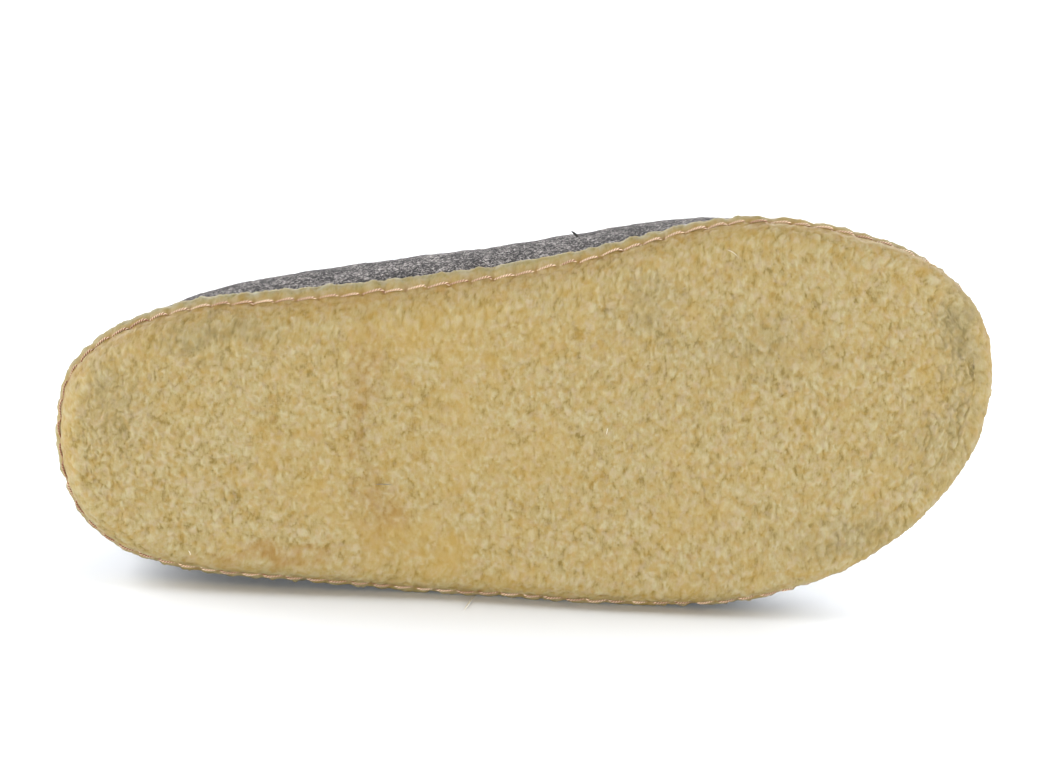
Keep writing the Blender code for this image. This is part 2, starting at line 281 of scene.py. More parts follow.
class FeltSettings(bpy.types.PropertyGroup):
    """Wool felt: its fibres and colours."""

    fuzz_length: size_property("Fuzz length", "Length of the longest loose fibres", 2.4)
    fuzz_thickness: size_property("Fuzz thickness", "Diameter of a loose fibre", 0.08)
    fuzz_count: bpy.props.IntProperty(
        name="Fuzz count", description="Number of loose fibres", default=18000, min=0, max=20000
    )
    dark_colour: colour_property("Dark wool", "Darkest fibres", "#101012")
    middle_colour: colour_property("Middle wool", "Most of the fibres", "#565151")
    light_colour: colour_property("Light wool", "Lightest fibres", "#c6c0bd")
    # Painted shade in the crease just above the sole's lip
    crease_shade_colour: colour_property("Crease tint", "Dims the felt just above the sole's lip", "#b4b4ba")
    stray_colour: colour_property("Pale strays", "Lightest stray fibres", "#f3ead6")


class StageSettings(bpy.types.PropertyGroup):
    """Floor, lights and camera."""

    floor_colour: colour_property("Floor colour", "Plain pale floor", "#f3f6fa")
    right_light: power_property("Right light", "softbox at the toe's side", 23.5)
    left_light: power_property("Left light", "softbox at the heel's side", 28.0)
    back_light: power_property("Back light", "strip softbox behind and above", 34.0)
    front_light: power_property("Front light", "low strip softbox behind the camera", 35.5)
    ambient: number_property("Ambient", "Light from all around", 0.04, min=0.0, max=10.0)
    camera_distance: number_property("Distance", "From the slipper's middle", 1.3, unit="LENGTH")
    camera_elevation: number_property(
        "Elevation", "Above the horizon", math.radians(15.0), subtype="ANGLE"
    )
    camera_roll: number_property(
        "Roll", "Turn about the line of sight", math.radians(2.45), subtype="ANGLE"
    )
    focal_pixels: number_property("Focal length", "Pixels, in a picture 1046 wide", 4284.0)


def last_frame():
    """From the last's frame, with x to the toe and z up from the tread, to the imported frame."""
    mounts = {mount["name"]: mount for mount in frame["record"]["mounts"]}
    heel = Vector(mounts["heel_tread"]["pos_m"])
    toe_way = (Vector(mounts["forefoot_tread"]["pos_m"]) - heel).normalized()
    up = -Vector(mounts["heel_tread"]["axis"]).normalized()
    across = up.cross(toe_way).normalized()
    turn = Matrix((toe_way, across, up)).transposed().to_4x4()
    return Matrix.Translation(heel - toe_way * HEEL_MOUNT_X * MM) @ turn


def in_last(places, ways):
    """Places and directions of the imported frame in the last's frame."""
    to_last = np.array(last_frame().inverted())
    turn = to_last[:3, :3].T
    return places @ turn + to_last[:3, 3], ways @ turn


def smoothstep(share):
    share = np.clip(share, 0.0, 1.0)
    return share * share * (3.0 - 2.0 * share)


def unit(vectors):
    """Rows of vectors, each made one long."""
    return vectors / np.linalg.norm(vectors, axis=1)[:, None]


def nearness(at, middle, reach):
    """1 at the middle row, falling to 0 at that reach from it."""
    return max(0.0, 1.0 - abs(at - middle) / reach)


def sole_lift(x):
    """How far the whole sole stands off the floor at x, in millimetres."""
    rising = smoothstep((x - ARCH_BACK) / (ARCH_TOP - ARCH_BACK))
    falling = 1.0 - smoothstep((x - ARCH_TOP) / (ARCH_FRONT - ARCH_TOP))
    spring = np.maximum(0.0, (x - TOE_SPRING_START) / (LENGTH - TOE_SPRING_START))
    return ARCH_LIFT * np.where(x < ARCH_TOP, rising, falling) + TOE_SPRING * spring**2


def tread_step(x):
    """How much further the tread is cut back ahead of the heel."""
    rise = smoothstep((x - HEEL_STEP_BACK) / (HEEL_STEP_FRONT - HEEL_STEP_BACK))
    fall = smoothstep((x - HEEL_STEP_FRONT) / (HEEL_STEP_END - HEEL_STEP_FRONT))
    return HEEL_STEP * rise * (1.0 - fall)


def plate_thickness(x):
    return PLATE_AT_FOREFOOT + HEEL_WEDGE * (1.0 - smoothstep(x / WEDGE_FRONT))


def through_points(before, start, end, after, share):
    """A smooth curve from start to end that heads for its neighbours at both ends."""
    leave = (end - before) / 2.0
    arrive = (after - start) / 2.0
    squared, cubed = share * share, share**3
    return (
        start * (2 * cubed - 3 * squared + 1)
        + leave * (cubed - 2 * squared + share)
        + end * (3 * squared - 2 * cubed)
        + arrive * (cubed - squared)
    )


def side_outline(side, count):
    """x, y and lean at evenly spaced places along one side of the rim, heel to toe."""

    def row(index):
        last = len(SECTIONS) - 1
        turned = index < 0 or index > last
        index = -index if index < 0 else 2 * last - index if index > last else index
        section = SECTIONS[index]
        on_side = -side if turned else side
        width, lean = section.lateral, section.lateral_lean
        if on_side < 0:
            width, lean = section.medial, section.medial_lean
        return np.array((section.x, on_side * width, lean))

    shares = np.linspace(0.0, 1.0, SAMPLES_PER_SECTION, endpoint=False)[:, None]
    spans = [
        through_points(row(start - 1), row(start), row(start + 1), row(start + 2), shares)
        for start in range(len(SECTIONS) - 1)
    ]
    dense = np.concatenate([*spans, row(len(SECTIONS) - 1)[None]])
    run = np.concatenate(([0.0], np.cumsum(np.hypot(*np.diff(dense[:, :2], axis=0).T))))
    even = np.linspace(0.0, run[-1], count + 1)
    return np.column_stack([np.interp(even, run, column) for column in dense.T])


class Rim:
    """The rim's outline as closed columns: heel, outer side, toe, inner side. Millimetres."""

    def __init__(self, per_side):
        outer = side_outline(1, per_side)
        inner = side_outline(-1, per_side)
        ring = np.concatenate([outer, inner[-2:0:-1]])
        self.outline = ring[:, :2]
        self.lean = np.radians(ring[:, 2])
        along = unit(np.roll(self.outline, -1, axis=0) - np.roll(self.outline, 1, axis=0))
        self.inward = np.column_stack([along[:, 1], -along[:, 0]])
        self.plate = plate_thickness(self.outline[:, 0])
        self.height = self.plate + RIM_ABOVE_PLATE
        steps = np.linalg.norm(np.roll(self.outline, -1, axis=0) - self.outline, axis=1)
        self.run = np.concatenate(([0.0], np.cumsum(steps)))

    def row(self, inset, height, tread_share=0.0):
        """One closed row of points, inset square to the leaning wall, at a height in the sole."""
        inwards = inset / np.cos(self.lean) + (self.height - height) * np.tan(self.lean)
        place = self.outline + self.inward * inwards[:, None]
        lift = sole_lift(place[:, 0]) + tread_step(place[:, 0]) * tread_share
        return np.column_stack([place, height + lift])

    def fuller(self, at):
        """How much further out than its table the edge stands at a row, round the toe."""
        way_round = self.run[:-1] / self.run[-1]
        extra = np.interp(way_round, *zip(*FULLER_TOE))
        return extra * np.interp(at, FULLER_ROWS, (0.0, 1.0, 1.0, 0.0))

    def edge_row(self, at, extra_inset=0.0):
        """A row of the sole's edge, at a place counted in rows of its table."""
        last = len(SOLE_EDGE) - 1
        start = min(int(at), last - 1)
        near = [np.array(SOLE_EDGE[min(max(index, 0), last)]) for index in range(start - 1, start + 3)]
        inset, height_share = through_points(*near, at - start)
        inset = inset + extra_inset - self.fuller(at)
        height_share = min(height_share, 1.0)
        return self.row(inset, height_share * self.height, 1.0 - height_share)


def rung_points(row, counts_across):
    """Points inside a closed row, on straight lines from its outer side to its inner side."""
    half = len(row) // 2
    outer = row[1:half]
    inner = row[:half:-1]
    shares = np.linspace(0.0, 1.0, counts_across + 1)[1:-1]
    return outer[:, None, :] + (inner - outer)[:, None, :] * shares[None, :, None]


class SheetMesh:
    """Collects rows of points and the faces between them, from the bottom row upwards."""

    def __init__(self):
        self.points = []
        self.faces = []
        self.count = 0

    def add(self, points):
        points = np.asarray(points, float).reshape(-1, 3)
        indices = np.arange(self.count, self.count + len(points))
        self.points.append(points)
        self.count += len(points)
        return indices

    def join(self, rows):
        """Quads between each closed row and the next."""
        for low, high in zip(rows, rows[1:]):
            quads = [low, np.roll(low, -1), np.roll(high, -1), high]
            self.faces.extend(np.column_stack(quads).tolist())

    def close_across(self, row, rungs, flip):
        """Fills a closed row with a grid of rung points, or straight across where there are none.

        Every other quad starts at another corner, so that their diagonals run both ways.
        """
        half = len(row) // 2
        outer, inner = row[1:half], row[:half:-1]
        between = [] if rungs is None else [rungs]
        lines = np.column_stack([outer, *between, inner])
        corners = np.stack([lines[:-1, :-1], lines[1:, :-1], lines[1:, 1:], lines[:-1, 1:]], axis=-1)
        corners[::2, ::2] = np.roll(corners[::2, ::2], 1, axis=-1)
        corners[1::2, 1::2] = np.roll(corners[1::2, 1::2], 1, axis=-1)
        faces = corners.reshape(-1, 4).tolist()
        heel, toe = int(row[0]), int(row[half])
        faces += [[heel, int(a), int(b)] for a, b in zip(lines[0], lines[0][1:])]
        faces += [[toe, int(b), int(a)] for a, b in zip(lines[-1], lines[-1][1:])]
        self.faces.extend([face[::-1] for face in faces] if flip else faces)

    def mesh(self, name):
        data = bpy.data.meshes.new(name)
        data.from_pydata(np.concatenate(self.points) * MM, [], [face[::-1] for face in self.faces])
        data.update()
        return data


def add_tube(bm, path, hint, reach, spokes):
    """A closed tube along a path. Its spokes start square to the hint, as long as reach says."""
    ahead = unit(np.gradient(path, axis=0))
    side = unit(np.cross(ahead, hint))
    high = np.cross(side, ahead)
    angles = np.arange(spokes) * 2.0 * math.pi / spokes
    rings = []
    for index, middle in enumerate(path):
        ways = np.outer(np.cos(angles), side[index]) + np.outer(np.sin(angles), high[index])
        spots = [middle + way * reach(index, angle) for way, angle in zip(ways, angles)]
        rings.append([bm.verts.new(spot) for spot in spots])
    for low, top in zip(rings, rings[1:]):
        for spoke in range(spokes):
            after = (spoke + 1) % spokes
            bm.faces.new((low[spoke], top[spoke], top[after], low[after]))
    bm.faces.new(rings[0])
    bm.faces.new(rings[-1][::-1])
    return rings


def mesh_from(bm, name):
    data = bpy.data.meshes.new(name)
    bm.to_mesh(data)
    bm.free()
    return data


def read_rows(items, name):
    rows = np.empty(len(items) * 3, np.float32)
    items.foreach_get(name, rows)
    return rows.reshape(-1, 3).astype(float)


def mesh_points(data):
    return read_rows(data.vertices, "co")


def mesh_normals(data):
    return read_rows(data.vertex_normals, "vector")


def set_points(data, points):
    data.vertices.foreach_set("co", np.asarray(points, np.float32).ravel())
    data.update()


def set_attribute(data, name, values):
    attribute = data.attributes.new(name, "FLOAT", "POINT")
    attribute.data.foreach_set("value", np.asarray(values, np.float32))


def add_object(name, data):
    made = bpy.data.objects.new(name, data)
    bpy.context.scene.collection.objects.link(made)
    return made


def add_piece(name, data, material, replaces=None):
    """Links a finished mesh as a piece that rides on the slipper's one body."""
    data.shade_smooth()
    data.materials.append(material)
    piece = add_object(name, data)
    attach(piece, "root")
    if replaces:
        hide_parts(replaces)


def add_node(tree, kind, settings=None, links=None):
    """Adds a shader node, sets its values and sockets, and links its inputs."""
    node = tree.nodes.new("ShaderNode" + kind)
    for key, value in (settings or {}).items():
        if isinstance(key, str) and hasattr(node, key):
            setattr(node, key, value)
        else:
            node.inputs[key].default_value = value
    for key, source in (links or {}).items():
        tree.links.new(source, node.inputs[key])
    return node


def new_material(name, values):
    """A material with values on its shader's own sockets, its node tree and that shader."""
    material = bpy.data.materials.new(name)
    material.use_nodes = True
    shader = material.node_tree.nodes["Principled BSDF"]
    for socket, value in values.items():
        shader.inputs[socket].default_value = value
    return material, material.node_tree, shader


def with_alpha(colour):
    return (*colour, 1.0)


def mix_colours(tree, low, high, factor, blend="MIX"):
    """A colour mix whose ends are colours or sockets."""
    mix = add_node(tree, "Mix", {"data_type": "RGBA", "blend_type": blend}, {"Factor": factor})
    for socket, value in ((mix.inputs[6], low), (mix.inputs[7], high)):
        if isinstance(value, bpy.types.NodeSocket):
            tree.links.new(value, socket)
        else:
            socket.default_value = with_alpha(value)
    return mix.outputs[2]


def per_metre(size_mm):
    """Texture scale for a pattern of that size."""
    return 1.0 / (size_mm * MM)


def crepe_material(look):
    """Natural crepe rubber, cast as crumb and left rough: matt, slightly translucent, honey yellow.

    The tops of the lumps are paler and the pits between them darker: partly the rubber's own scuffing,
    partly painted light on the tops and painted shade in the pits.
    """
    values = {
        "Roughness": 0.62,
        "IOR": 1.52,
        "Specular IOR Level": 0.3,
        "Subsurface Weight": 0.25,
        "Subsurface Radius": (1.0, 0.6, 0.25),
        "Subsurface Scale": 0.0015,
    }
    material, tree, shader = new_material("natural_crepe_rubber", values)
    place = add_node(tree, "TexCoord").outputs["Object"]
    relief = add_node(tree, "Attribute", {"attribute_name": "relief"}).outputs["Fac"]
    sizes = {"Scale": (per_metre(0.6), per_metre(1.6), per_metre(1.6))}
    streaks = add_node(tree, "Mapping", sizes, {"Vector": place}).outputs[0]
    rough = {"Scale": 1.0, "Detail": 3.0, "Roughness": 0.65, "Distortion": 0.5}
    grain = add_node(tree, "TexNoise", rough, {"Vector": streaks}).outputs["Fac"]
    change = {"operation": "MULTIPLY_ADD", 1: 0.9, 2: -0.45}
    uneven = add_node(tree, "Math", change, {0: grain}).outputs[0]
    tone = add_node(tree, "Math", {"operation": "ADD"}, {0: relief, 1: uneven}).outputs[0]
    # Colour from the crumb's height: painted shade in the pits, painted light on the tops, besides
    # real scuffing
    ramp = add_node(tree, "ValToRGB", links={"Fac": tone})
    stops = ramp.color_ramp.elements
    stops[0].position, stops[0].color = 0.0, with_alpha(look.pit_colour)
    stops[1].position, stops[1].color = 1.0, with_alpha(look.top_colour)
    stops.new(0.4).color = with_alpha(look.body_colour)
    colour = ramp.outputs["Color"]
    for size, seed, low, high, most, fleck in (
        (11.0, 0.0, 0.45, 0.75, 0.5, look.gold_colour),
        (2.5, 3.0, 0.48, 0.68, 0.52, look.blush_colour),
        (2.4, 7.0, 0.48, 0.68, 0.52, look.moss_colour),
    ):
        cloud = {"noise_dimensions": "4D", "W": seed, "Scale": per_metre(size), "Detail": 3.0}
        cloud["Distortion"] = 0.4
        spots = add_node(tree, "TexNoise", cloud, {"Vector": place}).outputs["Fac"]
        limits = {"From Min": low, "From Max": high, "To Min": 0.0, "To Max": most}
        share = add_node(tree, "MapRange", limits, {0: spots}).outputs[0]
        colour = mix_colours(tree, colour, fleck, share)
    for kind, stain_colour, blend in (
        ("gold", look.gold_colour, "MIX"),
        ("amber", look.amber_colour, "MIX"),
        ("olive", look.olive_dirt_and_shade_colour, "MIX"),
        ("valley", look.painted_valley_shade_colour, "MULTIPLY"),
        ("lip", look.lip_colour, "MULTIPLY"),
        ("hole", look.hole_dirt_and_shade_colour, "MIX"),
    ):
        share = add_node(tree, "Attribute", {"attribute_name": kind}).outputs["Fac"]
        colour = mix_colours(tree, colour, stain_colour, share, blend)
    tree.links.new(colour, shader.inputs["Base Color"])
    bump = add_node(tree, "Bump", {"Strength": 0.55, "Distance": 0.0004}, {"Height": grain})
    tree.links.new(bump.outputs["Normal"], shader.inputs["Normal"])
    return material


def stain_shares(points, relief):
    """How strongly each colour of stain lies on each point of the tread: most in the pits."""
    shares = {"gold": 0.0, "amber": 0.0, "olive": 0.0, "rubbed": 0.0}
    waves = np.array([noise.noise_vector(Vector(point) / STAIN_WAVE) for point in points])
    x, y = (points[:, :2] + waves[:, :2] * STAIN_WANDER).T
    in_pits = np.clip(1.35 - 0.9 * relief, 0.3, 1.4)
    for stain in STAINS:
        away = np.hypot((x - stain.x) / stain.half_x, (y - stain.y) / stain.half_y)
        share = stain.strength * in_pits * (1.0 - smoothstep(away / STAIN_FADE))
        shares[stain.kind] = np.maximum(shares[stain.kind], share)
    return shares


class SLIPPER_OT_crepe_sole(bpy.types.Operator):
    """Builds the crepe sole with its crumb tread, rolled edge, stitch groove and lip"""

    bl_idname = "slipper.crepe_sole"
    bl_label = "Crepe sole"

    points_across = 124
    edge_rows = 23
    lip_rows = (5.25, 5.5, 5.75, 6.0, 6.5, 7.0)

    # How rough the crumb is up the edge, where the painted shade of the valley lies (fading out
    # towards the outer side over side_blend, mm), and where the lip's grey tint lies
    crumb_rows = (0.0, 2.0, 3.5, 4.25, 5.0, 6.0, 7.0)
    crumb_shares = (1.0, 0.9, 0.75, 0.45, 0.8, 0.8, 0.4)
    valley_rows = (1.0, 2.0, 3.0, 4.25, 4.75)
    valley_shares = (0.0, 0.4, 1.0, 1.0, 0.0)
    lip_shade_rows = (4.4, 5.0)
    side_blend = 60.0

    # Rows that the stitches pull in, sink and darken with dirt and painted shade, with the depth of
    # their holes (mm)
    pulled_row, pulled_reach = 5.2, 1.4
    groove_reach = 0.45
    hole_depth = 0.7
    dirt_reach = 0.5
    hole_dirt, groove_dirt = 0.8, 0.1

    # Crumb height that stays on the solid's surface, the most that is rubbed off, and how much of
    # its tone smooth crepe keeps
    level_height = 0.62
    most_rubbed = 0.8
    least_tone = 0.35

    # Crumb: waves that bend its cells (size and reach, mm), how much finer the small cells are, width
    # of the creases in shares of a cell, grain along and across the sole and broad swells (mm), and
    # how much all of it spreads
    bends = ((2.8, 1.5), (1.0, 0.5))
    small_cells = 1.9
    crease_width = 0.45
    grain_width, grain_length = 0.9, 2.4
    swell_size = 5.0
    spread = 0.22

    def execute(self, context):
        look = context.scene.slipper_crepe
        pitch = context.scene.slipper_thread.pitch / MM
        noise.seed_set(CRUMB_SEED)
        rim = Rim(RIM_COLUMNS)
        sheet = SheetMesh()
        pull = self.near_holes(rim, pitch, sharpness=1.0, least=0.1) * look.scallop / MM
        hole = self.near_holes(rim, pitch, sharpness=9.0, least=0.6)
        rows, roughness = [], []
        places = [*np.linspace(0.0, 5.0, self.edge_rows), *self.lip_rows]
        for at in places:
            on_lip = nearness(at, self.pulled_row, self.pulled_reach)
            in_groove = nearness(at, GROOVE_ROW, self.groove_reach)
            sunk = in_groove * (GROOVE_DEPTH + self.hole_depth * hole)
            row = sheet.add(rim.edge_row(at, pull * on_lip + sunk))
            rows.append(row)
            roughness.append(np.full(len(row), np.interp(at, self.crumb_rows, self.crumb_shares)))
        inside = sheet.add(rim.row(RIM_THICKNESS, rim.plate))
        rows.append(inside)
        roughness.append(np.zeros(len(inside)))
        sheet.join(rows)
        tread = rung_points(rim.edge_row(0.0), self.points_across)
        tread[..., 2] = sole_lift(tread[..., 0]) + tread_step(tread[..., 0])
        rungs = sheet.add(tread).reshape(tread.shape[:2])
        roughness.append(np.ones(rungs.size))
        sheet.close_across(rows[0], rungs, True)
        sheet.close_across(inside, None, False)
        data = sheet.mesh("crepe_outsole")
        points = mesh_points(data) / MM
        relief = self.crumb(points, look)
        shares = stain_shares(points, relief)
        rubbed = np.minimum(shares.pop("rubbed"), self.most_rubbed)
        amount = np.concatenate(roughness) * (1.0 - rubbed)
        raised = (relief - self.level_height) * amount * look.crumb_relief / MM
        moved = points + mesh_normals(data) * raised[:, None]
        tone = self.least_tone + (1.0 - self.least_tone) * amount
        # The crumb's height also sets the colour: painted shade in the pits and painted light on the
        # tops
        set_attribute(data, "relief", 0.5 + (relief - 0.5) * tone)
        dirt, valley, lip = np.zeros((3, len(points)))
        # The valley's painted shade lies on the inner, upper side only
        inner_side = smoothstep(0.5 - rim.outline[:, 1] / self.side_blend)
        for at, row in zip(places, rows):
            # Dirt and painted shade in the holes and along the groove under the thread
            by_thread = nearness(at, GROOVE_ROW, self.dirt_reach)
            dirt[row] = self.hole_dirt * hole * by_thread + self.groove_dirt * by_thread
            valley[row] = np.interp(at, self.valley_rows, self.valley_shares) * inner_side
            lip[row] = np.interp(at, self.lip_shade_rows, (0.0, 1.0))
        set_attribute(data, "hole", np.minimum(dirt, 1.0))
        set_attribute(data, "valley", valley)
        set_attribute(data, "lip", lip)
        for kind, share in shares.items():
            set_attribute(data, kind, share)
        set_points(data, moved * MM)
        data.transform(last_frame())
        settled = mesh_points(data)
        settled[:, 2] = np.maximum(settled[:, 2], 0.0)
        set_points(data, settled)
        add_piece("crepe_outsole", data, crepe_material(look), "outsole")
        return {"FINISHED"}

    @staticmethod
    def near_holes(rim, pitch, sharpness, least):
        """From least to 1 at each stitch hole of the rim, by chance, and 0 half way between two."""
        stitches = round(rim.run[-1] / pitch)
        phase = rim.run[:-1] / rim.run[-1] * stitches
        heights = np.random.default_rng(HOLE_SEED).uniform(least, 1.0, stitches)
        height = heights[np.round(phase).astype(int) % stitches]
        return height * (0.5 + 0.5 * np.cos(2.0 * math.pi * phase)) ** sharpness

    def crumb(self, points, look):
        """Height of the crumb at each point: 0.5 on average, about 0 in the pits, 1 on the lumps."""
        wide, long = look.crumb_width / MM, look.crumb_length / MM
        heights = np.empty(len(points))
        for index, place in enumerate(points):
            spot = Vector(place)
            warped = spot.copy()
            for size, reach in self.bends:
                warped += noise.noise_vector(spot / size) * reach
            cell = Vector((warped.x / wide, warped.y / long, warped.z / long))
            across = warped.y / self.grain_length, warped.z / self.grain_length
            large = noise.voronoi(cell)[0]
            small = noise.voronoi(cell * self.small_cells + PIT_SHIFT)[0]
            crease = min(1.0, (large[1] - large[0]) / self.crease_width)
            heights[index] = (
                0.7 * crease
                - 0.6 * large[0]
                - 0.8 * small[0]
                + 0.6 * noise.noise(Vector((warped.x / self.grain_width, *across)))
                + 0.3 * noise.noise(spot / self.swell_size)
            )
        return np.clip(0.5 + self.spread * (heights - heights.mean()) / heights.std(), -0.2, 1.1)


def two_tone_material(name, values, attribute, low, high):
    """A material whose colour goes from low to high with an attribute of its mesh."""
    material, tree, shader = new_material(name, values)
    share = add_node(tree, "Attribute", {"attribute_name": attribute}).outputs["Fac"]
    tree.links.new(mix_colours(tree, low, high, share), shader.inputs["Base Color"])
    return material


def thread_material(look):
    """Waxed cotton thread, twisted from plies: painted highlight on the plies and painted shade in the
    twist, over a soft real sheen.
    """
    values = {"Roughness": 0.5, "Sheen Weight": 0.2}
    colours = look.shade_colour, look.thread_colour
    return two_tone_material("waxed_cotton_thread", values, "ply", *colours)


class SLIPPER_OT_stitches(bpy.types.Operator):
    """Sews the rim: one twisted stitch from each hole to the next"""

    bl_idname = "slipper.stitches"
    bl_label = "Rim stitches"

    path_points = 34
    ring_points = 12
    plies = 2
    twist_turns = 3.6

    # What varies from stitch to stitch: slant and place across the groove (mm), how far it bulges out
    # and sinks in (thread radii), its tone, and the share of the pitch that shows
    slants = (0.3, 1.0)
    asides = (-0.2, 0.2)
    bulges = (0.5, 1.0)
    depths = (0.0, 0.85)
    tints = (-0.35, 0.1)
    lengths = (0.82, 0.97)

    # The floor has dirtied the thread round the back of the heel: how much darker it is there, up to
    # where, and over what length that fades (mm)
    heel_dirt = 0.45
    heel_dirt_end, heel_dirt_fade = 12.0, 30.0

    def execute(self, context):
        look = context.scene.slipper_thread
        rim = Rim(RIM_COLUMNS)
        groove = self.closed(rim.edge_row(GROOVE_ROW))
        rise = self.closed(unit(rim.edge_row(GROOVE_ROW + 0.5) - rim.edge_row(GROOVE_ROW - 0.5)))
        out = np.cross(unit(np.gradient(groove, axis=0)), rise)
        out *= np.sign((out[:, :2] * -self.closed(rim.inward)).sum(axis=1))[:, None]
        seam = (rim.run, groove, rise, out)
        count = round(rim.run[-1] / (look.pitch / MM))
        chance = random.Random(STITCH_SEED)
        bm = bmesh.new()
        ply = bm.verts.layers.float.new("ply")
        for stitch in range(count):
            self.sew(bm, ply, seam, stitch / count, (stitch + 1) / count, look, chance)
        data = mesh_from(bm, "rim_stitches")
        data.transform(last_frame())
        add_piece("rim_stitches", data, thread_material(look))
        return {"FINISHED"}

    @staticmethod
    def closed(row):
        """A closed row with its first point again at the end."""
        return np.concatenate([row, row[:1]])

    def sew(self, bm, ply, seam, start, end, look, chance):
        """One stitch: out of its hole, along the groove and down into the next hole."""
        run, groove, rise, out = seam
        radius = look.thickness / MM / 2.0
        slant = chance.uniform(*self.slants)
        bulge = chance.uniform(*self.bulges)
        turn_start = chance.uniform(0.0, 2.0 * math.pi)
        tint = chance.uniform(*self.tints)
        sunk = chance.uniform(*self.depths) ** 2
        aside = chance.uniform(*self.asides)
        shares = np.linspace(0.0, 1.0, self.path_points)
        back = 1.0 - shares
        places = (end - (end - start) * (0.02 + back * chance.uniform(*self.lengths))) * run[-1]

        def at(table):
            return np.column_stack([np.interp(places, run, column) for column in table.T])

        middle, up, outward = at(groove), at(rise), at(out)
        climb = back**1.4 * (1.0 - back**9)
        past_heel = (middle[0, 0] - self.heel_dirt_end) / self.heel_dirt_fade
        dirt = self.heel_dirt * float(1.0 - smoothstep(past_heel))
        thick = radius * (0.72 + 0.38 * climb)
        lift = radius * (0.5 + 0.8 * bulge * climb - sunk - 2.4 * shares**5 - 2.6 * back**9)
        sideways = slant * climb + aside - 0.35
        path = middle + outward * lift[:, None] + up * sideways[:, None]

        def lobe(index, angle):
            twist = turn_start + 2.0 * math.pi * self.twist_turns * shares[index]
            return math.cos(self.plies * (angle - twist))

        def reach(index, angle):
            return thick[index] * (0.9 + 0.32 * lobe(index, angle)) * MM

        rings = add_tube(bm, path * MM, outward, reach, self.ring_points)
        # Painted highlight on each ply, and painted shade in the twist and where the stitch dives into
        # its hole; the tint is the thread's own tone, the heel's darkening its dirt
        for index, ring in enumerate(rings):
            for spoke, vert in enumerate(ring):
                bright = lobe(index, 2.0 * math.pi * spoke / self.ring_points)
                vert[ply] = 0.4 + 0.9 * bright + tint - dirt - 0.3 * (1.0 - climb[index]) ** 3


def felt_material(name, look):
    """Boiled wool felt of dark and light fleece: matt, mottled along its fibres, soft sheen."""
    values = {
        "Roughness": 0.95,
        "Specular IOR Level": 0.15,
        "Sheen Weight": 0.12,
        "Sheen Roughness": 0.6,
    }
    material, tree, shader = new_material(name, values)
    place = add_node(tree, "TexCoord").outputs["Object"]
    total = None
    streak = {"Scale": 1.0, "Detail": 1.0, "Roughness": 0.5, "Distortion": 0.3}
    for length, width, turn in (
        (5.0, 0.36, (0.0, 0.1, 0.1)),
        (4.0, 0.34, (0.0, -0.7, 0.5)),
        (4.0, 0.34, (0.0, 0.6, -0.7)),
    ):
        lie = {"vector_type": "TEXTURE", "Rotation": turn}
        lie["Scale"] = (length * MM, width * MM, width * MM)
        laid = add_node(tree, "Mapping", lie, {"Vector": place}).outputs[0]
        strand = add_node(tree, "TexNoise", streak, {"Vector": laid}).outputs["Fac"]
        if total is None:
            total = strand
        else:
            both = {0: total, 1: strand}
            total = add_node(tree, "Math", {"operation": "MAXIMUM"}, both).outputs[0]
    for mottle, weight in (
        ({"Scale": per_metre(1.5), "Detail": 3.0, "Roughness": 0.6}, 0.35),
        ({"Scale": per_metre(5.0), "Detail": 2.0}, 0.22),
    ):
        clumps = add_node(tree, "TexNoise", mottle, {"Vector": place}).outputs["Fac"]
        change = {"operation": "MULTIPLY_ADD", 1: weight}
        total = add_node(tree, "Math", change, {0: clumps, 2: total}).outputs[0]
    limits = {"From Min": 0.765, "From Max": 1.035}
    tone = add_node(tree, "MapRange", limits, {0: total}).outputs[0]
    ramp = add_node(tree, "ValToRGB", links={"Fac": tone})
    stops = ramp.color_ramp.elements
    stops[0].position, stops[0].color = 0.15, with_alpha(look.dark_colour)
    stops[1].position, stops[1].color = 0.95, with_alpha(look.light_colour)
    stops.new(0.55).color = with_alpha(look.middle_colour)
    # Painted shade in the crease just above the sole's lip
    crease = add_node(tree, "Attribute", {"attribute_name": "crease"}).outputs["Fac"]
    colour = mix_colours(tree, ramp.outputs["Color"], look.crease_shade_colour, crease, "MULTIPLY")
    tree.links.new(colour, shader.inputs["Base Color"])
    bump = add_node(tree, "Bump", {"Strength": 0.6, "Distance": 0.0005}, {"Height": tone})
    tree.links.new(bump.outputs["Normal"], shader.inputs["Normal"])
    return material


def uneven_felt(data, amount_mm):
    """Moves a felt surface in and out as matted wool does."""
    points, normals = mesh_points(data), mesh_normals(data)
    push = np.empty(len(points))
    for index, place in enumerate(points):
        spot = Vector(place) / MM
        push[index] = sum(share * noise.noise(spot / size) for size, share in FELT_LUMPS)
    moved = points + normals * (push * amount_mm * MM)[:, None]
    moved[:, 2] = np.maximum(moved[:, 2], 0.0)
    set_points(data, moved)


def swell_felt(data):
    """Moves the felt of the inner side to where the photograph shows it, and marks the painted shade
    of its crease.
    """
    points, normals = mesh_points(data), mesh_normals(data)
    spots, ways = in_last(points, normals)
    spots = spots / MM
    faces_inner_side = smoothstep((-ways[:, 1] - INNER_FACING) / FACING_BLEND)
    on_inner_side = smoothstep((-spots[:, 1] - INNER_PLACE) / PLACE_BLEND)
    above_lip = spots[:, 2] - LIP_HEIGHT
    extra = np.interp(spots[:, 0], *zip(*FELT_SWELLS)) * smoothstep(above_lip / SWELL_RISE)
    set_points(data, points + normals * (extra * faces_inner_side * on_inner_side * MM)[:, None])
    # Painted shade, darkest at the lip and gone at CREASE_HEIGHT above it
    set_attribute(data, "crease", 1.0 - smoothstep(above_lip / CREASE_HEIGHT))


